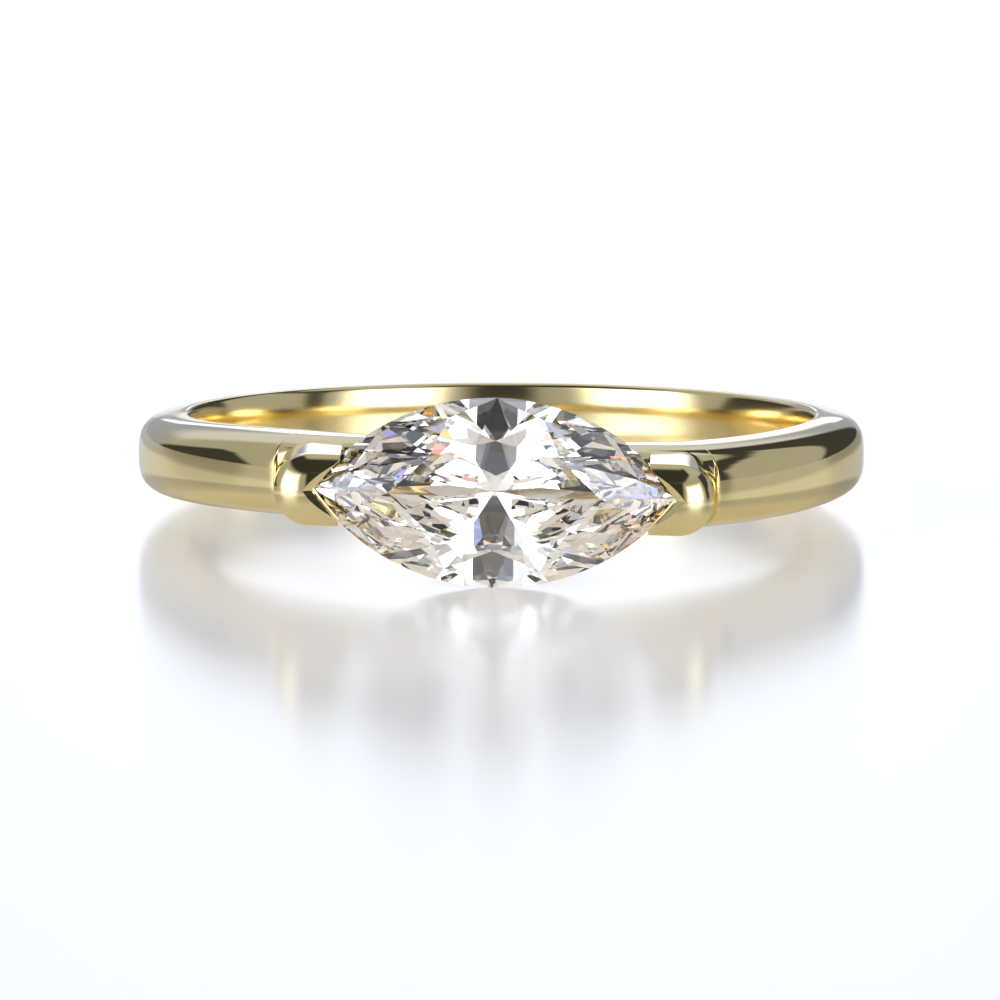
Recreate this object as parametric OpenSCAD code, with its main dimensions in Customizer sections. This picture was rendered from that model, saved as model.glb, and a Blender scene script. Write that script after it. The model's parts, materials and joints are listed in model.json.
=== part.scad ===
// Ring with one marquise stone set across the finger, lying on its side.
// The ring is drawn upright about the finger's axis (Z) with the stone facing -Y,
// then leaned back until the stone and the back of the band touch the ground.

/* [Band] */
// Inside diameter of the finger hole
finger_d = 17.3; // [14:0.1:22]
// Width of the band beside the stone
width_head = 2.4; // [2:0.02:3]
// Width of the band at its back
width_back = 2.1; // [1.4:0.02:2.4]
// Thickness that the shoulders rise to beside the stone
thick_head = 2; // [1.4:0.05:2.4]
// Thickness of the band at its back
thick_back = 1.4; // [1:0.05:1.6]
// Squareness of the band's section, from 2 for an ellipse to 4 for nearly a box
section_power = 3.2; // [2:0.1:4]
// Rounding where the band's sides meet the finger hole
rim_r = 0.22; // [0.1:0.01:0.3]

/* [Stone] */
// Length of the stone from tip to tip
stone_l = 10; // [8:0.1:11]
// Width of the stone
stone_w = 5.2; // [4:0.05:5.6]
// Height of the crown above the girdle
crown_h = 0.75; // [0.5:0.05:1]
// Thickness of the girdle
girdle_h = 0.14; // [0.1:0.01:0.25]
// Depth of the pavilion below the girdle
pavilion_h = 2.15; // [1.6:0.05:2.5]
// Size of the table as a share of the stone's outline
table_share = 0.58; // [0.5:0.01:0.66]
// Clearance between the stone's lower point and the finger
culet_clear = 0.23; // [0.1:0.01:0.6]

/* [Cups] */
// Radius of the round cup that holds each tip, at its rim
cup_r = 0.98; // [0.9:0.01:1.05]
// Radius that each cup would widen to half way into the finger hole
foot_r = 1.06; // [0.98:0.01:1.1]
// Distance of the middle of the cup's round end beyond the stone's tip
cup_out = 0.02; // [0:0.01:0.3]
// Length over which the cup runs in along the stone
cup_run = 0.8; // [0.6:0.05:1.2]
// Height of the cup's rim in front of the stone's girdle
cup_rise = 0.55; // [0.4:0.05:0.7]
// Height of the domed end in front of that rim
dome_h = 0.44; // [0.3:0.02:0.6]
// Metal that laps over the edge of the stone
lip = 0.1; // [0.05:0.01:0.2]
// How much wider the opening for each tip is at the top of its cup
splay = 0.1; // [0:0.05:0.3]
// Gap between the stone and its seat
seat_gap = 0.04; // [0.02:0.01:0.08]

/* [Head] */
// Turn of the stone and its cups out of level with the band, in degrees
head_turn = 1.5; // [0:0.1:3]
// Thickness of the band under the middle of the stone
bridge_t = 0.6; // [0.45:0.05:0.8]
// Gap between the rim of each cup and the end of its shoulder, seen from the front
shoulder_gap = 0.08; // [0.05:0.01:0.4]
// Step from the end of each shoulder down to the saddle under the stone
shoulder_step = 0.15; // [0.05:0.05:0.4]
// Length of the window under the stone
window_l = 3; // [2:0.1:4]
// Width of the window under the stone
window_w = 1.1; // [0.8:0.05:1.4]

/* [Hidden] */

gold = [0.86, 0.76, 0.48];
clear = [0.9, 0.94, 0.98];

finger_r = finger_d / 2;
half_l = stone_l / 2;
half_w = stone_w / 2;
girdle_y = finger_r + culet_clear + pavilion_h + girdle_h / 2;
// Radius of the two arcs that meet at the tips, and how far their centres lie off the middle
arc_r = (half_l * half_l + half_w * half_w) / stone_w;
arc_off = arc_r - half_w;

cup_x = half_l + cup_out;
// Radius of the dome on each cup, and how far its middle lies in front of the finger's axis
dome_r = (cup_r * cup_r + dome_h * dome_h) / (2 * dome_h);
dome_y = girdle_y + cup_rise + dome_h - dome_r;
// The dome's middle lies this far in from the cup's, so that the dome is lowest at the ring's side
dome_in = dome_h / 4;
// How many times further the seat stands off the stone at the tips than at the sides
tip_stand_off = 1.3;

// How late the band widens and thickens towards the stone, from 1 for an even taper
widen_power = 1.6;
rise_power = 3.2;
shoulder_x = cup_x + cup_r + shoulder_gap;
shoulder_angle = end_angle(0, 6);

section_steps = 18;
rim_steps = 3;
saddle_steps = 16;
shank_step = 3.6;
// Sides of the circles that shape the stone and the finger hole, the cups, and the domes
wide_sides = 240;
cup_sides = 96;
dome_sides = 120;
// The unfinished band reaches this far into the finger hole before it is bored
bore_stock = 0.1;

// Angles run round the finger from 0 at the stone to 180 at the back
function taper(head, back, angle, power) = back + (head - back) * pow((1 + cos(angle)) / 2, power);
function half_width(angle) = taper(width_head, width_back, angle, widen_power) / 2;
function thickness(angle) = taper(thick_head, thick_back, angle, rise_power);
// Angle at which a shoulder, seen from the front, ends beside its cup
function end_angle(angle, tries) = tries == 0 ? angle :
    end_angle(asin(shoulder_x / (finger_r + thickness(angle))), tries - 1);

// The saddle under the stone rises in an even S from its middle to the step below each shoulder
function rise(share) = (1 - cos(180 * share)) / 2;
function cut_thickness(angle) =
    angle >= shoulder_angle ? thickness(angle) :
    bridge_t + (thickness(angle) - shoulder_step - bridge_t) * rise(angle / shoulder_angle);

// The front of the band follows the turned head, less and less from the shoulder to the side
function lean(angle) = angle > 90 ? 0 : tan(head_turn) * min(1, pow(cos(angle) / cos(shoulder_angle), 2));

function squash(value) = sign(value) * pow(abs(value), 2 / section_power);

// Upper half of the band's section, from the finger hole outwards, as [radius, height]
function rim_point(angle, step) =
    let (turn = 180 - 90 * step / rim_steps)
    [finger_r + rim_r * (1 + cos(turn)), half_width(angle) - rim_r * (1 - sin(turn))];
function rim_arc(angle) = [for (i = [1:rim_steps]) rim_point(angle, i)];
// The line from the first rim point through the hole's edge goes on into the stock
function stock_point(angle) =
    let (edge = rim_point(angle, 0), run = rim_point(angle, 1) - edge)
    edge - run * bore_stock / run[0];
function dome(angle) =
    let (t = cut_thickness(angle), first = asin(pow(rim_r / t, section_power / 2)))
    [
        for (i = [1:section_steps - 1])
            let (turn = first + (180 - 2 * first) * i / section_steps)
            [finger_r + t * squash(sin(turn)), half_width(angle) * squash(cos(turn))]
    ];
function lower(points) = [for (i = [len(points) - 1:-1:0]) [points[i][0], -points[i][1]]];
function section(angle) =
    let (upper_part = concat([stock_point(angle)], rim_arc(angle)))
    concat(upper_part, dome(angle), lower(upper_part));

shank_count = ceil((180 - shoulder_angle) / shank_step);
side_angles = concat(
    [for (i = [0:saddle_steps - 1]) shoulder_angle * sin(90 * i / saddle_steps)],
    [for (i = [0:shank_count]) shoulder_angle + (180 - shoulder_angle) * i / shank_count]);
ring_angles = concat(side_angles, [for (i = [len(side_angles) - 2:-1:1]) 360 - side_angles[i]]);

// A closed skin over loops of points, each joined to the next and the last to the first
module closed_loft(loops) {
    n = len(loops[0]);
    m = len(loops);
    polyhedron(
        points = [for (loop = loops) each loop],
        faces = [
            for (i = [0:m - 1], j = [0:n - 1])
                let (a = i * n + j, b = i * n + (j + 1) % n,
                     c = ((i + 1) % m) * n + (j + 1) % n, d = ((i + 1) % m) * n + j)
                each [[a, c, b], [a, d, c]]
        ]);
}

module shank() {
    closed_loft([
        for (angle = ring_angles)
            let (side = min(angle, 360 - angle))
            [for (p = section(side)) let (x = p[0] * sin(angle)) [x, -p[0] * cos(angle), p[1] - x * lean(side)]]
    ]);
}

// Outline of the stone, drawn across the front of the ring
module marquise(length, width) {
    r = (length * length + width * width) / (4 * width);
    intersection_for (side = [-1, 1])
        translate([0, side * (r - width / 2)])
            circle(r, $fn = wide_sides);
}

// Turns a shape drawn on the ground, with up as its height, to face the front of the ring
module facing_front(depth) {
    translate([0, -depth, 0])
        rotate([90, 0, 0])
            children();
}

// Share of the half length at which the slanting main facets start
main_share = 0.62;
// Heights, as shares of the crown and the pavilion, where the small facets meet the main ones
star_share = 0.5;
lower_share = 0.75;
// Each facet runs this far past the outline, which then trims it to a smooth girdle
spill = 0.07;

function on_arc(x) = sqrt(arc_r * arc_r - x * x) - arc_off;
main_x = main_share * half_l;
// A main facet starts from each of these points of the outline, which run round the stone
mains = [
    [half_l, 0], [main_x, on_arc(main_x)], [0, half_w], [-main_x, on_arc(main_x)],
    [-half_l, 0], [-main_x, -on_arc(main_x)], [0, -half_w], [main_x, -on_arc(main_x)]
];
function next(i) = (i + 1) % len(mains);
function unit(v) = v / norm(v);
function outward(p) = p[1] == 0 ? [sign(p[0]), 0] : unit([p[0], p[1] + sign(p[1]) * arc_off]);
function reach(i) = outward(mains[i]) * mains[i];
function half_way(i) =
    let (middle = (mains[i] + mains[next(i)]) / 2)
    [middle[0], sign(middle[1]) * on_arc(middle[0])];

// Slopes of the main facets: crown ones end at the table, pavilion ones at the stone's point
function crown_slope(i) = crown_h / ((1 - table_share) * reach(i));
function pavilion_slope(i) = pavilion_h / reach(i);

// Where main facet i and the next have both come in by height h, as [x, y]
function meeting(i, slope, next_slope, h) =
    let (a = outward(mains[i]), b = outward(mains[next(i)]),
         s = reach(i) - h / slope, t = reach(next(i)) - h / next_slope)
    [s * b[1] - t * a[1], a[0] * t - b[0] * s] / (a[0] * b[1] - a[1] * b[0]);

// Points of the cut stone, its crown upwards from the middle of the girdle.
// Rings of eight: table, star meetings, upper and lower girdle with their half-way points,
// lower meetings, and the single point below.
function level(points, height) = [for (p = points) [p[0], p[1], height]];
function girdle_ring(up) = [
    for (i = [0:7])
        let (slope = up > 0 ? crown_slope(i) : pavilion_slope(i), out = outward(half_way(i)))
        each [
            concat(mains[i] + spill * outward(mains[i]), up * (girdle_h / 2 - spill * slope)),
            concat(half_way(i) + spill * out, up * (girdle_h / 2 - spill * slope))
        ]
];
function stone_points() = concat(
    level(table_share * mains, girdle_h / 2 + crown_h),
    [for (i = [0:7])
        concat(meeting(i, crown_slope(i), crown_slope(next(i)), star_share * crown_h),
               girdle_h / 2 + star_share * crown_h)],
    girdle_ring(1),
    girdle_ring(-1),
    [for (i = [0:7])
        concat(meeting(i, pavilion_slope(i), pavilion_slope(next(i)), lower_share * pavilion_h),
               -girdle_h / 2 - lower_share * pavilion_h)],
    [[0, 0, -girdle_h / 2 - pavilion_h]]);

star = 8;
upper = 16;
under = 32;
low = 48;
point = 56;
function stone_faces() = concat(
    [[for (i = [7:-1:0]) i]],
    [for (i = [0:7])
        let (n = next(i), before = (i + 7) % 8,
             g = 2 * i, m = 2 * i + 1, h = 2 * n)
        each [
            [i, n, star + i],
            [star + i, upper + g, i],
            [star + before, i, upper + g],
            [star + i, upper + m, upper + g],
            [star + i, upper + h, upper + m],
            [upper + g, upper + m, under + m],
            [upper + g, under + m, under + g],
            [upper + m, upper + h, under + h],
            [upper + m, under + h, under + m],
            [low + i, under + g, under + m],
            [low + i, under + m, under + h],
            [low + i, point, under + g],
            [low + before, under + g, point]
        ]]);

// The stone, or its seat when grown by a gap on all sides
module cut_stone(grow = 0) {
    depth = crown_h + pavilion_h + girdle_h;
    growth = [1 + 2 * tip_stand_off * grow / stone_l, 1 + 2 * grow / stone_w, 1 + 2 * grow / depth];
    points = [for (p = stone_points()) [for (k = [0:2]) p[k] * growth[k]]];
    intersection() {
        polyhedron(points, stone_faces());
        linear_extrude(2 * depth, center = true)
            marquise(stone_l * growth[0], stone_w * growth[1]);
    }
}

module turned_head() {
    rotate([0, head_turn, 0])
        children();
}

// Outline of the right cup from the front, round at the tip and straight along the stone
module cup_outline() {
    circle(cup_r, $fn = cup_sides);
    translate([-cup_run, -cup_r])
        square([cup_run, 2 * cup_r]);
}

// A rod along X whose right end is a ball, with the ball's middle at the origin
module ball_end(r, length) {
    rotate([0, -90, 0])
        rotate_extrude($fn = dome_sides) {
            square([r, length]);
            intersection() {
                circle(r, $fn = dome_sides);
                translate([0, -r])
                    square(r);
            }
        }
}

// Each cup narrows from the finger hole, which trims its foot, to its top, which ends in a dome
module cup() {
    foot_y = finger_r / 2;
    top_y = girdle_y + cup_rise + 2 * dome_h;
    intersection() {
        translate([cup_x, -top_y, 0])
            rotate([-90, 0, 0])
                linear_extrude(top_y - foot_y, scale = foot_r / cup_r)
                    cup_outline();
        union() {
            translate([cup_x - dome_in, -dome_y, 0])
                ball_end(dome_r, 2 * cup_run);
            translate([0, -dome_y, -2 * cup_r])
                cube([2 * cup_x, dome_y, 4 * cup_r]);
        }
    }
}

module seat() {
    facing_front(girdle_y) {
        cut_stone(seat_gap);
        linear_extrude(2 * (cup_rise + dome_h), scale = 1 + 2 * splay / half_l)
            marquise(stone_l - 2 * lip, stone_w - 2 * lip);
    }
}

module window() {
    facing_front(finger_r - bridge_t)
        linear_extrude(3 * bridge_t)
            marquise(window_l, window_w);
}

module upright_band() {
    difference() {
        union() {
            shank();
            for (half = [0, 180])
                rotate([0, head_turn + half, 0])
                    cup();
        }
        cylinder(2 * width_head, r = finger_r, center = true, $fn = wide_sides);
        turned_head() {
            seat();
            window();
        }
    }
}

// How far the back of the band reaches in the direction [out, down]
dual_power = section_power / (section_power - 1);
function back_reach(out, down) =
    finger_r * out + pow(pow(thick_back * out, dual_power) + pow(width_back / 2 * down, dual_power),
                         1 / dual_power);
// The ring leans back until the stone's lowest edge and the back of the band are level
rest_y = girdle_y - girdle_h / 2;
function settle(tilt, tries) = tries == 0 ? tilt :
    let (flat_back = back_reach(sin(tilt), cos(tilt)) - finger_r * sin(tilt))
    settle(asin((half_w * cos(tilt) - flat_back) / (rest_y + finger_r)), tries - 1);
tilt = settle(0, 8);
lift = half_w * cos(tilt) - rest_y * sin(tilt);
middle_shift = (dome_y * cos(tilt) + dome_r - back_reach(cos(tilt), sin(tilt))) / 2;

module at_rest() {
    translate([0, middle_shift, lift])
        rotate([-tilt, 0, 0])
            children();
}

module band() {
    color(gold)
        at_rest()
            upright_band();
}

module stone() {
    color(clear)
        at_rest()
            turned_head()
                facing_front(girdle_y)
                    cut_stone();
}

band();
stone();
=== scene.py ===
import json
import math

import bmesh
import bpy
from mathutils import Matrix, Vector


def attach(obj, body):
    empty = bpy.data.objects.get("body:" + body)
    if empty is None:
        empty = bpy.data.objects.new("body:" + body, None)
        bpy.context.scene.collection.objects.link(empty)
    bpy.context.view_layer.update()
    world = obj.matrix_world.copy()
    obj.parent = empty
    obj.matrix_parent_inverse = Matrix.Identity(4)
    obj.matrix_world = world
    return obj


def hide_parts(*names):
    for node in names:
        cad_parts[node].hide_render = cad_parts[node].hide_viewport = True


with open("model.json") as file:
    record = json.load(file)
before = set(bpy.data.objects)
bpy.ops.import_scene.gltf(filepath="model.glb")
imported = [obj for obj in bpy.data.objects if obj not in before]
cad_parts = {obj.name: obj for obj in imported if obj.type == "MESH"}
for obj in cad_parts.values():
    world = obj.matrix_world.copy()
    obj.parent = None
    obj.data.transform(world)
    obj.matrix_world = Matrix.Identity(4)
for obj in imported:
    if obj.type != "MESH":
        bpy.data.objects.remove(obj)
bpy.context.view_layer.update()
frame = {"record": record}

# Pieces are drawn in millimetres about the finger's axis, with the stone towards -Y, and then laid to rest
# in metres. Angles run round the finger from 0 at the stone to 180 degrees at the back.
MM = 0.001
hole = frame["record"]["mounts"][0]
FINGER_R = hole["dims"]["r_mm"]
LEAN_BACK = math.atan2(hole["axis"][1], hole["axis"][2])
HEAD_TURN = math.radians(1.5)
REST = Matrix.Translation(Vector(hole["pos_m"]) / MM) @ Matrix.Rotation(-LEAN_BACK, 4, "X")
HEAD = Matrix.Rotation(HEAD_TURN, 4, "Y")

# The band: its width and thickness beside the stone and at its back
WIDTH_HEAD = 2.4
WIDTH_BACK = 2.1
THICK_HEAD = 2.0
THICK_BACK = 1.4
# How late it widens and thickens towards the stone, from 1 for an even taper
WIDEN_POWER = 1.6
RISE_POWER = 3.2
# Squareness of its section, from 2 for an ellipse to 4 for nearly a box
SECTION_POWER = 3.2
# How far out the finger hole's edge lies at its rims, and length and last slant of the easing before them
RIM_R = 0.22
COMFORT_RISE = 0.72
COMFORT_TILT = math.radians(11)
# Thickness under the middle of the stone, mean step at the end of each shoulder, and run of its rounded edge
BRIDGE_T = 0.6
SHOULDER_STEP = 0.15
SHOULDER_EDGE_R = 0.05
# Turns of the spun ring, in degrees, at which the saddle under the stone and the shoulder's edge end
SADDLE_TURN = 60
EDGE_TURN = 72

# The stone: its length, width and heights, and the gap between its lower point and the finger
STONE_L = 10.0
STONE_W = 5.2
CROWN_H = 0.75
GIRDLE_H = 0.14
PAVILION_H = 2.15
CULET_CLEAR = 0.23
# Size of the table as a share of the outline, and the share of the half length where slanting mains start
TABLE_SHARE = 0.58
MAIN_SHARE = 0.62
# Heights, as shares of the crown and the pavilion, where the small facets meet the main ones
STAR_SHARE = 0.5
LOWER_SHARE = 0.75
MAIN_COUNT = 8
GIRDLE_Y = FINGER_R + CULET_CLEAR + PAVILION_H + GIRDLE_H / 2
FACE_FRONT = Matrix.Translation((0, -GIRDLE_Y, 0)) @ Matrix.Rotation(math.radians(90), 4, "X")

# The cups: radius at the dome's rim, and half way into the finger hole
CUP_R = 0.98
FOOT_R = 1.06
# How far a cup's middle lies beyond the stone's tip, and how far the cup runs in along the stone
CUP_OUT = 0.02
CUP_RUN = 0.8
# Height of the dome's rim in front of the girdle, of the dome in front of that, and rounding between them
CUP_RISE = 0.55
DOME_H = 0.44
RIM_EDGE_R = 0.05
CUP_X = STONE_L / 2 + CUP_OUT
DOME_R = (CUP_R ** 2 + DOME_H ** 2) / (2 * DOME_H)
# Gap between the rim of each cup and the end of its shoulder, seen from the front
SHOULDER_GAP = 0.08

# The opening for the stone: metal that laps over the stone, its straight wall and its rounded edge
LIP = 0.1
LIP_STAND = 0.05
LIP_EDGE_R = 0.04
# How much wider it would be at the cups' tops without its bevel, and where and how steeply that runs
SPLAY = 0.04
BEVEL_START = 0.78
BEVEL_SLOPE = 1.0
# How far it is cut past the cups' tops
OPENING_OVER = 0.2
# Gap between the stone and its seat, and how many times wider it is at the tips
SEAT_GAP = 0.04
TIP_STAND_OFF = 1.3
# The window under the stone
WINDOW_L = 3.0
WINDOW_W = 1.1

# How finely the round shapes are divided
RING_STEPS = 540
SECTION_STEPS = 40
RIM_STEPS = 10
CUP_STEPS = 56
DOME_STEPS = 24
EDGE_STEPS = 5
WALL_STEPS = 30
RUN_STEPS = 4
OUTLINE_STEPS = 160
# Gold faces that meet at a smaller angle than this, in degrees, are shaded as one
SMOOTH_ANGLE = 20
# Points nearer than this become one: on round shapes, between facets, and along a cut
MERGE = 1e-5
FACET_MERGE = 1e-4
CUT_MERGE = 1e-6


# Mesh helpers

def new_piece(name, bm, place):
    """Makes an object of a mesh drawn in millimetres, and lays it at its place at rest."""
    bmesh.ops.transform(bm, matrix=Matrix.Scale(MM, 4) @ place, verts=bm.verts)
    mesh = bpy.data.meshes.new(name)
    bm.to_mesh(mesh)
    bm.free()
    piece = bpy.data.objects.new(name, mesh)
    bpy.context.scene.collection.objects.link(piece)
    return piece


def close_up(bm, distance=MERGE):
    bmesh.ops.remove_doubles(bm, verts=bm.verts, dist=distance)
    bmesh.ops.recalc_face_normals(bm, faces=bm.faces)


def combine(piece, tool, operation):
    """Joins the tool to the piece, or cuts it out of the piece, and throws the tool away."""
    step = piece.modifiers.new(operation, "BOOLEAN")
    step.operation = operation
    step.solver = "EXACT"
    step.object = tool
    depsgraph = bpy.context.evaluated_depsgraph_get()
    mesh = bpy.data.meshes.new_from_object(piece.evaluated_get(depsgraph))
    piece.modifiers.clear()
    piece.data = mesh
    bpy.data.objects.remove(tool)


def smooth_by_angle(piece, degrees):
    for polygon in piece.data.polygons:
        polygon.use_smooth = True
    piece.data.set_sharp_from_angle(angle=math.radians(degrees))


# The band

def taper(head, back, angle, power):
    """A size at an angle, which changes from the head to the back, and nearer the head for a higher power."""
    return back + (head - back) * ((1 + math.cos(angle)) / 2) ** power


def half_width(angle):
    return taper(WIDTH_HEAD, WIDTH_BACK, angle, WIDEN_POWER) / 2


def thickness(angle):
    return taper(THICK_HEAD, THICK_BACK, angle, RISE_POWER)


def shoulder_end():
    """Angle at which a shoulder, seen from the front, ends beside its cup."""
    edge_x = CUP_X + CUP_R + SHOULDER_GAP
    angle = 0
    # The thickness depends on the angle too, and a few rounds settle both
    for _ in range(6):
        angle = math.asin(edge_x / (FINGER_R + thickness(angle)))
    return angle


SHOULDER_ANGLE = shoulder_end()


def band_path(turn, low):
    """Angle round the finger and thickness of the band for a turn of the spun ring, in degrees.

    The saddle rises in an even S from under the stone, then steps up to the rounded edge of the shoulder.
    The step dies out towards the upper rim, where low is 0, and is deepest at the lower one, where it is 1.
    """
    edge_angle = SHOULDER_EDGE_R / (FINGER_R + thickness(SHOULDER_ANGLE))
    step = 2 * SHOULDER_STEP * low
    foot = thickness(SHOULDER_ANGLE) - step
    if turn < SADDLE_TURN:
        angle = SHOULDER_ANGLE * turn / SADDLE_TURN
        return angle, BRIDGE_T + (foot - BRIDGE_T) * (1 - math.cos(math.pi * turn / SADDLE_TURN)) / 2
    if turn < EDGE_TURN:
        sweep = math.radians(90) * (turn - SADDLE_TURN) / (EDGE_TURN - SADDLE_TURN)
        angle = SHOULDER_ANGLE + edge_angle * (1 - math.cos(sweep))
        return angle, thickness(angle) - step * (1 - math.sin(sweep))
    start = SHOULDER_ANGLE + edge_angle
    angle = start + (math.pi - start) * (turn - EDGE_TURN) / (180 - EDGE_TURN)
    return angle, thickness(angle)


def squarish(value):
    """Bends a sine or cosine, so that a round outline becomes the band's squarish one."""
    return math.copysign(abs(value) ** (2 / SECTION_POWER), value)


def section_profile():
    """Outline of the band's section at its back, as distances outwards from the finger and upwards.

    The finger hole eases outwards a little before the small rounding of its rim.
    """
    half = WIDTH_BACK / 2
    wide_r = COMFORT_RISE / math.sin(COMFORT_TILT)
    wide_out = wide_r * (1 - math.cos(COMFORT_TILT))
    edge_r = (RIM_R - wide_out) / math.cos(COMFORT_TILT)
    wide_up = half - edge_r * (1 - math.sin(COMFORT_TILT))
    rim = []
    for i in range(RIM_STEPS):
        tilt = COMFORT_TILT * i / RIM_STEPS
        rim.append((wide_r * (1 - math.cos(tilt)), wide_up - COMFORT_RISE + wide_r * math.sin(tilt)))
    for i in range(RIM_STEPS + 1):
        tilt = COMFORT_TILT + (math.radians(90) - COMFORT_TILT) * i / RIM_STEPS
        rim.append((RIM_R - edge_r * math.cos(tilt), half - edge_r * (1 - math.sin(tilt))))
    first = math.asin((RIM_R / THICK_BACK) ** (SECTION_POWER / 2))
    dome = []
    for i in range(1, SECTION_STEPS):
        turn = first + (math.pi - 2 * first) * i / SECTION_STEPS
        dome.append((THICK_BACK * squarish(math.sin(turn)), half * squarish(math.cos(turn))))
    return rim + dome + [(out, -up) for out, up in reversed(rim)]


def shape_section(out, up, angle, thick):
    """Moves a point of the back's section to where it lies on the section at another angle."""
    if out > RIM_R:
        out = RIM_R + (out - RIM_R) * (thick - RIM_R) / (THICK_BACK - RIM_R)
        return out, up * half_width(angle) / half_width(math.pi)
    return out, up + math.copysign(half_width(angle) - half_width(math.pi), up)


def front_lean(angle):
    """Slope by which the front of the band follows the turned head, less and less towards the sides."""
    if angle > math.pi / 2:
        return 0
    return math.tan(HEAD_TURN) * min(1, (math.cos(angle) / math.cos(SHOULDER_ANGLE)) ** 2)


def shank_mesh():
    """The back's section spun to a whole ring, whose points then move to the band's true shape."""
    bm = bmesh.new()
    loop = [bm.verts.new((0, -FINGER_R - out, up)) for out, up in section_profile()]
    edges = [bm.edges.new((a, b)) for a, b in zip(loop, loop[1:] + loop[:1])]
    bmesh.ops.spin(bm, geom=loop + edges, axis=(0, 0, 1), cent=(0, 0, 0), angle=math.radians(360),
                   steps=RING_STEPS, use_merge=True)
    for vert in bm.verts:
        x, y, up = vert.co
        turn = math.degrees(math.atan2(x, -y))
        angle, thick = band_path(abs(turn), (1 - 2 * up / WIDTH_BACK) / 2)
        out, up = shape_section(math.hypot(x, y) - FINGER_R, up, angle, thick)
        x = (FINGER_R + out) * math.copysign(math.sin(angle), turn)
        vert.co = (x, -(FINGER_R + out) * math.cos(angle), up - x * front_lean(angle))
    close_up(bm)
    return bm


# The cups

def cup_profile():
    """Half outline of a cup from the middle of its dome to its foot, as distances outwards and forwards."""
    middle = GIRDLE_Y + CUP_RISE + DOME_H - DOME_R
    edge_out = CUP_R - RIM_EDGE_R
    edge_up = middle + math.sqrt((DOME_R - RIM_EDGE_R) ** 2 - edge_out ** 2)
    edge_tilt = math.asin(edge_out / (DOME_R - RIM_EDGE_R))
    points = []
    for i in range(DOME_STEPS):
        tilt = edge_tilt * i / DOME_STEPS
        points.append((DOME_R * math.sin(tilt), middle + DOME_R * math.cos(tilt)))
    for i in range(EDGE_STEPS + 1):
        tilt = edge_tilt + (math.radians(90) - edge_tilt) * i / EDGE_STEPS
        points.append((edge_out + RIM_EDGE_R * math.sin(tilt), edge_up + RIM_EDGE_R * math.cos(tilt)))
    foot_up = FINGER_R / 2
    for i in range(1, WALL_STEPS + 1):
        share = i / WALL_STEPS
        points.append((CUP_R + (FOOT_R - CUP_R) * share, edge_up + (foot_up - edge_up) * share))
    return points + [(0, foot_up)]


def cup_mesh():
    """The right cup, from its dome back into the finger hole, where the hole trims it."""
    bm = bmesh.new()
    points = [bm.verts.new((CUP_X, -ahead, out)) for out, ahead in cup_profile()]
    edges = [bm.edges.new((a, b)) for a, b in zip(points, points[1:])]
    bmesh.ops.spin(bm, geom=points + edges, axis=(0, 1, 0), cent=(CUP_X, 0, 0), angle=math.radians(180),
                   steps=CUP_STEPS)
    bmesh.ops.remove_doubles(bm, verts=bm.verts, dist=MERGE)
    for _ in range(RUN_STEPS):
        open_side = [edge for edge in bm.edges if edge.is_boundary]
        run = bmesh.ops.extrude_edge_only(bm, edges=open_side)["geom"]
        moved = [item for item in run if isinstance(item, bmesh.types.BMVert)]
        bmesh.ops.translate(bm, vec=(-CUP_RUN / RUN_STEPS, 0, 0), verts=moved)
    bmesh.ops.holes_fill(bm, edges=[edge for edge in bm.edges if edge.is_boundary])
    close_up(bm)
    return bm


# The stone

# Its outline is two arcs of this radius, whose centres lie this far off the middle
ARC_R = (STONE_L ** 2 + STONE_W ** 2) / (4 * STONE_W)
ARC_OFF = ARC_R - STONE_W / 2


def on_arc(x):
    return math.sqrt(ARC_R ** 2 - x ** 2) - ARC_OFF


def main_points():
    """The points of the outline from which the main facets start, round the stone."""
    main_x = MAIN_SHARE * STONE_L / 2
    first_half = [Vector((STONE_L / 2, 0)), Vector((main_x, on_arc(main_x))), Vector((0, STONE_W / 2)),
                  Vector((-main_x, on_arc(main_x)))]
    return first_half + [-point for point in first_half]


MAINS = main_points()


def following(i):
    return (i + 1) % MAIN_COUNT


def outward(point):
    """Direction square to the outline at one of its points, which at a tip is along the stone."""
    if point.y == 0:
        return Vector((math.copysign(1, point.x), 0))
    return Vector((point.x, point.y + math.copysign(ARC_OFF, point.y))).normalized()


def reach(i):
    """How far out from the stone's middle a main facet starts."""
    return outward(MAINS[i]).dot(MAINS[i])


def half_way(i):
    """Point of the outline between a main facet's start and the next one's."""
    middle = (MAINS[i] + MAINS[following(i)]) / 2
    return Vector((middle.x, math.copysign(on_arc(middle.x), middle.y)))


def crown_slope(i):
    return CROWN_H / ((1 - TABLE_SHARE) * reach(i))


def pavilion_slope(i):
    return PAVILION_H / reach(i)


def meeting(i, slope, height):
    """Where a main facet and the next have both come in by a height."""
    a, b = outward(MAINS[i]), outward(MAINS[following(i)])
    s, t = reach(i) - height / slope(i), reach(following(i)) - height / slope(following(i))
    return Vector((s * b.y - t * a.y, a.x * t - b.x * s)) / (a.x * b.y - a.y * b.x)


def at_height(point, height):
    return Vector((point.x, point.y, height))


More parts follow.
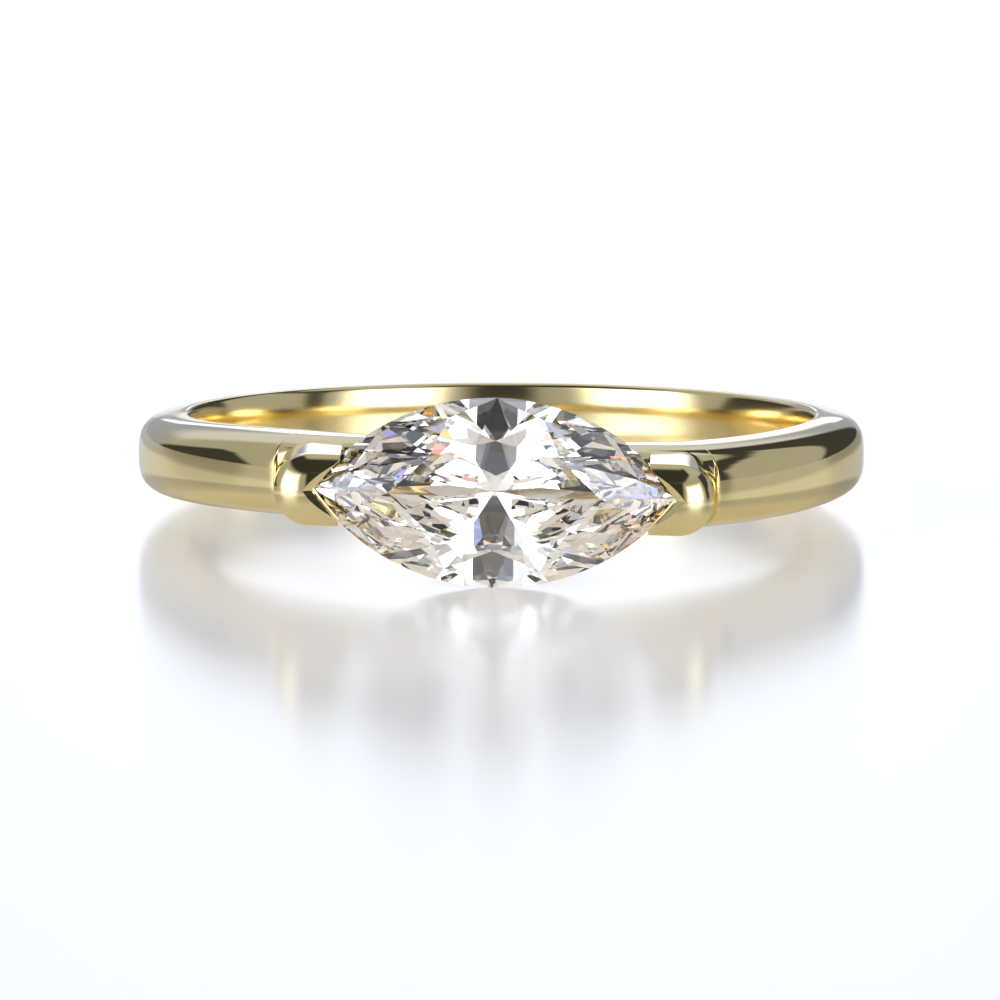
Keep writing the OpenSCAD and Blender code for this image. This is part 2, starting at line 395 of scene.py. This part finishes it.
def facet_planes():
    """Three points on each facet of the cut stone, apart from its table.

    The crown is drawn upwards from the middle of the girdle.
    """
    girdle, table = GIRDLE_H / 2, GIRDLE_H / 2 + CROWN_H
    star_height, low_height = STAR_SHARE * CROWN_H, LOWER_SHARE * PAVILION_H
    for i in range(MAIN_COUNT):
        here, after = MAINS[i], MAINS[following(i)]
        beside = here + Vector((-outward(here).y, outward(here).x))
        star = at_height(meeting(i, crown_slope, star_height), girdle + star_height)
        low = at_height(meeting(i, pavilion_slope, low_height), -girdle - low_height)
        # Main facets of the crown and the pavilion
        yield at_height(here, girdle), at_height(beside, girdle), at_height(TABLE_SHARE * here, table)
        yield at_height(here, -girdle), at_height(beside, -girdle), Vector((0, 0, -girdle - PAVILION_H))
        # Star facet beside the table
        yield at_height(TABLE_SHARE * here, table), at_height(TABLE_SHARE * after, table), star
        # Upper and lower girdle facets
        for end in (here, after):
            yield at_height(end, girdle), at_height(half_way(i), girdle), star
            yield at_height(end, -girdle), at_height(half_way(i), -girdle), low


def growth(by):
    """Scale at which the stone's outline lies a distance further out on all sides."""
    slant = STONE_L / 2 / ARC_R
    return Vector((1 + 2 * by / slant / STONE_L, 1 + 2 * by / STONE_W, 1))


def marquise_block(length, width, levels):
    """A block whose outline is a round disc bent to two arcs that meet in tips.

    Each level gives a height, and how far the outline lies further out there.
    """
    arc_r = (length ** 2 + width ** 2) / (4 * width)
    half_sweep = math.asin(length / 2 / arc_r)
    bm = bmesh.new()
    bmesh.ops.create_circle(bm, cap_ends=True, segments=OUTLINE_STEPS, radius=1)
    for vert in bm.verts:
        side = math.copysign(1, vert.co.y)
        sweep = half_sweep * math.asin(max(-1, min(1, vert.co.x))) / math.radians(90)
        y = side * (arc_r * math.cos(sweep) - arc_r + width / 2)
        vert.co = (arc_r * math.sin(sweep), y, levels[0][0])
    top = bm.faces[:]
    for (below, narrow), (height, wide) in zip(levels, levels[1:]):
        raised = bmesh.ops.extrude_face_region(bm, geom=top)["geom"]
        # The first face stays as the block's underside, and the later ones would be walls inside it
        if below > levels[0][0]:
            bmesh.ops.delete(bm, geom=top, context="FACES_ONLY")
        top = [item for item in raised if isinstance(item, bmesh.types.BMFace)]
        verts = list({vert for face in top for vert in face.verts})
        stretch = Vector((growth(wide).x / growth(narrow).x, growth(wide).y / growth(narrow).y, 1))
        bmesh.ops.scale(bm, vec=stretch, verts=verts)
        bmesh.ops.translate(bm, vec=(0, 0, height - below), verts=verts)
    close_up(bm)
    return bm


def opening_levels():
    """Heights in front of the girdle, and how far the opening for the stone is wider there.

    The metal that laps over the stone has a rounded edge. From there the opening splays a little, and then
    more where the cups' tops are bevelled towards the stone.
    """
    edge = GIRDLE_H / 2 + LIP * CROWN_H / (1 - TABLE_SHARE) / (STONE_W / 2) + LIP_STAND
    levels = [(0, 0), (edge, 0)]
    for i in range(1, EDGE_STEPS + 1):
        turn = math.radians(90) * i / EDGE_STEPS
        levels.append((edge + LIP_EDGE_R * math.sin(turn), LIP_EDGE_R * (1 - math.cos(turn))))
    height, wide = levels[-1]
    wide += SPLAY * (BEVEL_START - height) / (CUP_RISE + DOME_H)
    levels.append((BEVEL_START, wide))
    top = CUP_RISE + DOME_H + OPENING_OVER
    levels.append((top, wide + BEVEL_SLOPE * (top - BEVEL_START)))
    return levels


def cut_facet(bm, points):
    """Takes off all that lies outside the plane through three points, and closes the cut."""
    a, b, c = points
    normal = (b - a).cross(c - a).normalized()
    if normal.dot(a) < 0:
        normal.negate()
    whole = bm.verts[:] + bm.edges[:] + bm.faces[:]
    cut = bmesh.ops.bisect_plane(bm, geom=whole, dist=CUT_MERGE, plane_co=a, plane_no=normal,
                                 clear_outer=True)
    edges = [item for item in cut["geom_cut"] if isinstance(item, bmesh.types.BMEdge)]
    bmesh.ops.edgeloop_fill(bm, edges=edges)


def stone_mesh(grow=0.0):
    """The cut stone, or its seat when grown by a gap on all sides."""
    bm = marquise_block(STONE_L, STONE_W, [(-GIRDLE_H / 2 - PAVILION_H, 0), (GIRDLE_H / 2 + CROWN_H, 0)])
    for points in facet_planes():
        cut_facet(bm, points)
    close_up(bm, FACET_MERGE)
    depth = CROWN_H + PAVILION_H + GIRDLE_H
    grown = (1 + 2 * TIP_STAND_OFF * grow / STONE_L, 1 + 2 * grow / STONE_W, 1 + 2 * grow / depth)
    bmesh.ops.scale(bm, vec=grown, verts=bm.verts)
    return bm


# Putting the ring together

def polished_band():
    """The ring and its cups as one body, with the finger hole, seat, opening and window cut out of it.

    The bodies that cut the hole and the window reach well past the metal.
    """
    band = new_piece("polished_band", shank_mesh(), REST)
    for half in (0, math.pi):
        place = REST @ HEAD @ Matrix.Rotation(half, 4, "Y")
        combine(band, new_piece("cup", cup_mesh(), place), "UNION")
    bore = bmesh.new()
    bmesh.ops.create_cone(bore, cap_ends=True, segments=RING_STEPS, radius1=FINGER_R, radius2=FINGER_R,
                          depth=4 * WIDTH_HEAD)
    combine(band, new_piece("bore", bore, REST), "DIFFERENCE")
    front = REST @ HEAD @ FACE_FRONT
    opening = marquise_block(STONE_L - 2 * LIP, STONE_W - 2 * LIP, opening_levels())
    combine(band, new_piece("seat", stone_mesh(SEAT_GAP), front), "DIFFERENCE")
    combine(band, new_piece("opening", opening, front), "DIFFERENCE")
    window = marquise_block(WINDOW_L, WINDOW_W, [(0, 0), (3 * BRIDGE_T, 0)])
    inwards = Matrix.Translation((0, -FINGER_R + BRIDGE_T, 0)) @ Matrix.Rotation(math.radians(90), 4, "X")
    combine(band, new_piece("window", window, REST @ HEAD @ inwards), "DIFFERENCE")
    smooth_by_angle(band, SMOOTH_ANGLE)
    return band


# Materials

GOLD = (0.95, 0.79, 0.41)
# Roughness of the mirror polish where it is clearest and most hazed, and of the softer finish in the hole
POLISH_CLEAR = 0.03
POLISH_HAZED = 0.09
HOLE_HAZE = 0.13
# Patches of haze to a metre, which makes them about a millimetre across
HAZE_SCALE = 900
HAZE_DETAIL = 4
STONE_IOR = 2.42
# Painted reflection of the gold cups in the stone: tints at shares of the way from its middle to its tips
STONE_PAINTED_REFLECTION = ((0.25, (1, 0.985, 0.96)), (0.9, (1, 0.92, 0.82)))
FLOOR_TONE = (0.7, 0.68, 0.64)
FLOOR_ROUGHNESS = 0.18
# The floor's painted sheen, a glow in place of the studio light it would reflect, as stops from 0 where it is
# seen from straight above to 1 where it is seen level
NEAR, DIM, BRIGHT = (0.26, 0.245, 0.21), (0.1, 0.098, 0.092), (0.3, 0.3, 0.3)
FLOOR_PAINTED_SHEEN = ((0.45, NEAR), (0.63, DIM), (0.74, DIM), (0.785, BRIGHT), (0.858, BRIGHT), (0.885, DIM))
# Its painted glow in light that has come through the stone
PAINTED_GLOW_THROUGH_STONE = (0.5, 0.45, 0.38)


def new_material(name):
    material = bpy.data.materials.new(name)
    material.use_nodes = True
    tree = material.node_tree
    return material, tree, tree.nodes["Principled BSDF"]


def calculate(tree, operation, *values):
    """Output of a Math node, each of whose inputs takes a number or the output of another node."""
    node = tree.nodes.new("ShaderNodeMath")
    node.operation = operation
    for socket, value in zip(node.inputs, values):
        if isinstance(value, bpy.types.NodeSocket):
            tree.links.new(value, socket)
        else:
            socket.default_value = value
    return node.outputs[0]


def tone_ramp(tree, place, stops):
    """Colour at a place between stops, of which each gives its own place and colour."""
    ramp = tree.nodes.new("ShaderNodeValToRGB")
    tree.links.new(place, ramp.inputs["Fac"])
    elements = ramp.color_ramp.elements
    for element, (stop, tone) in zip(elements, stops):
        element.position = stop
        element.color = (*tone, 1)
    for stop, tone in stops[2:]:
        elements.new(stop).color = (*tone, 1)
    return ramp.outputs["Color"]


def out_of_hole(tree, place):
    """Share from 0 in the finger hole to 1 outside its rims, by distance from the finger's axis."""
    about_finger = tree.nodes.new("ShaderNodeMapping")
    about_finger.vector_type = "TEXTURE"
    about_finger.inputs["Location"].default_value = hole["pos_m"]
    about_finger.inputs["Rotation"].default_value = (-LEAN_BACK, 0, 0)
    tree.links.new(place, about_finger.inputs["Vector"])
    across = tree.nodes.new("ShaderNodeVectorMath")
    across.operation = "MULTIPLY"
    across.inputs[1].default_value = (1, 1, 0)
    tree.links.new(about_finger.outputs["Vector"], across.inputs[0])
    away = tree.nodes.new("ShaderNodeVectorMath")
    away.operation = "LENGTH"
    tree.links.new(across.outputs["Vector"], away.inputs[0])
    share = tree.nodes.new("ShaderNodeMapRange")
    share.inputs["From Min"].default_value = (FINGER_R + RIM_R / 2) * MM
    share.inputs["From Max"].default_value = (FINGER_R + RIM_R) * MM
    tree.links.new(away.outputs["Value"], share.inputs["Value"])
    return share.outputs["Result"]


def polished_gold():
    """Pale yellow gold with a mirror polish, faintly hazed by the wheel, and softer in the hole."""
    material, tree, shader = new_material("polished_gold")
    shader.inputs["Base Color"].default_value = (*GOLD, 1)
    shader.inputs["Metallic"].default_value = 1
    place = tree.nodes.new("ShaderNodeTexCoord").outputs["Object"]
    haze = tree.nodes.new("ShaderNodeTexNoise")
    haze.inputs["Scale"].default_value = HAZE_SCALE
    haze.inputs["Detail"].default_value = HAZE_DETAIL
    tree.links.new(place, haze.inputs["Vector"])
    polish = tree.nodes.new("ShaderNodeMapRange")
    polish.inputs["To Min"].default_value = POLISH_CLEAR
    polish.inputs["To Max"].default_value = POLISH_HAZED
    tree.links.new(haze.outputs["Fac"], polish.inputs["Value"])
    finish = tree.nodes.new("ShaderNodeMix")
    finish.inputs["A"].default_value = HOLE_HAZE
    tree.links.new(out_of_hole(tree, place), finish.inputs["Factor"])
    tree.links.new(polish.outputs["Result"], finish.inputs["B"])
    tree.links.new(finish.outputs["Result"], shader.inputs["Roughness"])
    return material


def clear_stone():
    """A colourless cut stone with a painted reflection of the gold: a warm tint towards its tips in the cups.
    """
    material, tree, shader = new_material("clear_stone")
    split = tree.nodes.new("ShaderNodeSeparateXYZ")
    tree.links.new(tree.nodes.new("ShaderNodeTexCoord").outputs["Object"], split.inputs["Vector"])
    along = tree.nodes.new("ShaderNodeMapRange")
    along.inputs["From Max"].default_value = STONE_L / 2 * MM
    tree.links.new(calculate(tree, "ABSOLUTE", split.outputs["X"]), along.inputs["Value"])
    # Painted reflection: the stone's colour warms towards its tips, in place of the gold cups seen through it
    tint = tone_ramp(tree, along.outputs["Result"], STONE_PAINTED_REFLECTION)
    tree.links.new(tint, shader.inputs["Base Color"])
    shader.inputs["Roughness"].default_value = 0
    shader.inputs["IOR"].default_value = STONE_IOR
    shader.inputs["Transmission Weight"].default_value = 1
    return material


def pale_floor():
    """A satin floor with a painted sheen: it glows softly, more or less with the slant at which it is seen,
    in place of the studio light it would reflect.

    In light that has come through the stone its painted glow is even, brighter and warmer.
    """
    material, tree, shader = new_material("pale_floor")
    shader.inputs["Base Color"].default_value = (*FLOOR_TONE, 1)
    shader.inputs["Roughness"].default_value = FLOOR_ROUGHNESS
    # Painted sheen: the floor's glow rises and falls with the slant at which it is seen
    slant = tree.nodes.new("ShaderNodeLayerWeight")
    slant.inputs["Blend"].default_value = 0.5
    glow = tree.nodes.new("ShaderNodeMix")
    glow.data_type = "RGBA"
    glow.inputs["B"].default_value = (*PAINTED_GLOW_THROUGH_STONE, 1)
    through = tree.nodes.new("ShaderNodeLightPath").outputs["Is Transmission Ray"]
    tree.links.new(through, glow.inputs["Factor"])
    tree.links.new(tone_ramp(tree, slant.outputs["Facing"], FLOOR_PAINTED_SHEEN), glow.inputs["A"])
    tree.links.new(glow.outputs["Result"], shader.inputs["Emission Color"])
    shader.inputs["Emission Strength"].default_value = 1
    return material


def dress(piece, material):
    piece.data.materials.clear()
    piece.data.materials.append(material)


band = polished_band()
gem = new_piece("cut_stone", stone_mesh(), REST @ HEAD @ FACE_FRONT)
dress(band, polished_gold())
dress(gem, clear_stone())

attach(band, "root")
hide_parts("band")
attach(gem, "root")
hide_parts("stone")


# Floor, light and camera

FLOOR_SIZE = 1000


def lay_floor():
    bm = bmesh.new()
    bmesh.ops.create_grid(bm, x_segments=1, y_segments=1, size=FLOOR_SIZE)
    floor = new_piece("floor", bm, Matrix.Identity(4))
    dress(floor, pale_floor())


# The studio's light is a little cooler than white, and bluer behind the ring
COOL = Vector((0.93, 0.98, 1.08))
SKY = Vector((0.9, 0.98, 1.3))


def light(level, tint=COOL):
    return tuple(level * tint)


def block(left, right, low, high):
    return [(left, low), (right, low), (right, high), (left, high)]


WALL_TONE = 0.42
# Cards of the studio, each over the ones before it, with all angles in degrees: corners as azimuth from the
# front and elevation, softness of the edge, and tone
CARDS = {
    "ceiling": (block(-400, 400, 49, 100), 6, light(0.5)),
    "backdrop": (block(140, 220, 16, 60), 8, light(0.72, SKY)),
    "low_backdrop": (block(140, 220, -12, 16), 5, light(0.4, SKY)),
    "table_glow": (block(178, 184, 6, 15), 1.5, light(1.8)),
    "horizon_glow": (block(176, 186, 2.1, 6), 0.5, light(1.5)),
    "left_dark": ([(-152, -12), (-138, 4), (-110, 21), (-100, 18), (-86, -2), (-82, -12)], 2, light(0.05)),
    "right_dark": (block(72, 168, -12, 47), 2, light(0.05)),
    "right_panel": ([(80, -12), (81, 16), (92, 30), (106, 38), (130, 42), (148, 40), (137, 18), (117, -12)],
                    2, light(0.43)),
    "front_dark": (block(-12, 14, -12, 45), 5, light(0.04)),
    "top_dark": ([(-100, 52), (-20, 38), (20, 45), (50, 60), (50, 80), (-100, 80)], 5, light(0.04)),
    "left_light": (block(-70, -36, -12, 30), 12, light(4)),
    "right_light": (block(28, 58, -12, 28), 11, light(4)),
}
# Cards that show only in light through the stone, wide warm ones for its tips and small ones for its fire
FLASHES = {
    "warm_left": (block(-110, -72, -10, 40), 6, (1.15, 0.95, 0.78)),
    "warm_right": (block(60, 110, -10, 40), 6, (1.15, 0.95, 0.78)),
    "warm_top": (block(-40, 40, 62, 84), 6, (1.0, 0.9, 0.8)),
    "red": (block(-31, -23, 10, 19), 1, (2.0, 0.7, 0.55)),
    "pink": (block(24, 30, 34, 42), 1, (2, 0.95, 0.85)),
    "blue": (block(17, 24, 6, 14), 1, (0.45, 0.65, 1.7)),
    "violet": (block(-22, -15, 40, 48), 1, (0.6, 0.55, 1.6)),
    "orange": (block(62, 69, 20, 28), 1, (2.2, 1.2, 0.5)),
    "amber": (block(-84, -76, 16, 25), 1, (2.1, 1.4, 0.7)),
}


def card(tree, angles, colour, name, corners, soft, tone, seen=None):
    """Lays a soft-edged card over the colour that the studio has so far, and gives the new colour.

    Where seen is given, the card shows only in the light for which it is 1.
    """
    corners = [Vector((math.radians(azimuth), math.radians(elevation))) for azimuth, elevation in corners]
    middle = sum(corners, Vector((0, 0))) / len(corners)
    azimuth, elevation = angles
    spot = tree.nodes.new("ShaderNodeCombineXYZ")
    near_card = calculate(tree, "WRAP", azimuth, middle.x + math.pi, middle.x - math.pi)
    tree.links.new(near_card, spot.inputs["X"])
    tree.links.new(elevation, spot.inputs["Y"])
    spot.inputs["Z"].default_value = 1
    # How far in from the card's nearest edge the spot lies
    inside = None
    for start, end in zip(corners, corners[1:] + corners[:1]):
        inwards = Vector((start.y - end.y, end.x - start.x)).normalized()
        if inwards.dot(middle - start) < 0:
            inwards.negate()
        depth = tree.nodes.new("ShaderNodeVectorMath")
        depth.operation = "DOT_PRODUCT"
        depth.inputs[1].default_value = (inwards.x, inwards.y, -inwards.dot(start))
        tree.links.new(spot.outputs[0], depth.inputs[0])
        if inside is None:
            inside = depth.outputs["Value"]
        else:
            inside = calculate(tree, "MINIMUM", inside, depth.outputs["Value"])
    edge = tree.nodes.new("ShaderNodeMapRange")
    edge.interpolation_type = "SMOOTHSTEP"
    edge.inputs["From Min"].default_value = -math.radians(soft)
    edge.inputs["From Max"].default_value = math.radians(soft)
    tree.links.new(inside, edge.inputs["Value"])
    share = edge.outputs["Result"]
    if seen is not None:
        share = calculate(tree, "MULTIPLY", share, seen)
    mix = tree.nodes.new("ShaderNodeMix")
    mix.name = name
    mix.data_type = "RGBA"
    tree.links.new(share, mix.inputs["Factor"])
    tree.links.new(colour, mix.inputs["A"])
    mix.inputs["B"].default_value = (*tone, 1)
    return mix.outputs["Result"]


def light_studio():
    world = bpy.data.worlds.new("studio")
    bpy.context.scene.world = world
    world.use_nodes = True
    tree = world.node_tree
    split = tree.nodes.new("ShaderNodeSeparateXYZ")
    tree.links.new(tree.nodes.new("ShaderNodeTexCoord").outputs["Generated"], split.inputs["Vector"])
    forwards = calculate(tree, "MULTIPLY", split.outputs["Y"], -1)
    azimuth = calculate(tree, "ARCTAN2", split.outputs["X"], forwards)
    elevation = calculate(tree, "ARCSINE", split.outputs["Z"])
    walls = tree.nodes.new("ShaderNodeRGB")
    walls.outputs[0].default_value = (*light(WALL_TONE), 1)
    colour = walls.outputs[0]
    for name, (corners, soft, tone) in CARDS.items():
        colour = card(tree, (azimuth, elevation), colour, name, corners, soft, tone)
    seen = tree.nodes.new("ShaderNodeLightPath").outputs["Is Transmission Ray"]
    for name, (corners, soft, tone) in FLASHES.items():
        colour = card(tree, (azimuth, elevation), colour, name + "_flash", corners, soft, tone, seen)
    background = tree.nodes["Background"]
    tree.links.new(colour, background.inputs["Color"])
    background.inputs["Strength"].default_value = 1
    # The studio's light is broad, so rays find it without being aimed at it
    world.cycles.sampling_method = "NONE"


# The photo's camera: distance from the middle of the finger hole, height over the ring's plane, turn to the
# right, pixels to a millimetre at the hole, and where the hole's middle lies in the picture
CAMERA_AWAY = 468 * MM
CAMERA_HEIGHT = math.radians(5.85)
CAMERA_TURN = math.radians(1.0)
PIXELS_PER_MM = 35.81
PICTURE = 1000
HOLE_PIXEL = (501.5, 451.4)


def add_camera():
    middle = Vector(hole["pos_m"])
    height = CAMERA_HEIGHT + LEAN_BACK
    back = Vector((math.sin(CAMERA_TURN) * math.cos(height), -math.cos(CAMERA_TURN) * math.cos(height),
                   math.sin(height)))
    right = Vector((math.cos(CAMERA_TURN), math.sin(CAMERA_TURN), 0))
    up = back.cross(right)
    off_right = (PICTURE / 2 - HOLE_PIXEL[0]) / PIXELS_PER_MM * MM
    off_up = (HOLE_PIXEL[1] - PICTURE / 2) / PIXELS_PER_MM * MM
    place = middle + CAMERA_AWAY * back
    target = middle + off_right * right + off_up * up
    lens = bpy.data.cameras.new("photo_camera")
    lens.sensor_width = 36
    lens.lens = PIXELS_PER_MM / MM * CAMERA_AWAY / PICTURE * lens.sensor_width
    lens.clip_start = 0.01
    camera = bpy.data.objects.new("photo_camera", lens)
    camera.location = place
    camera.rotation_euler = (place - target).to_track_quat("Z", "Y").to_euler()
    bpy.context.scene.collection.objects.link(camera)
    bpy.context.scene.camera = camera


lay_floor()
light_studio()
add_camera()

# Light turns many times inside the stone before it comes out
STONE_BOUNCES = 28
GLOSSY_BOUNCES = 12

scene = bpy.context.scene
scene.view_settings.view_transform = "Standard"
scene.cycles.max_bounces = STONE_BOUNCES
scene.cycles.transmission_bounces = STONE_BOUNCES
scene.cycles.glossy_bounces = GLOSSY_BOUNCES
scene.cycles.use_denoising = True
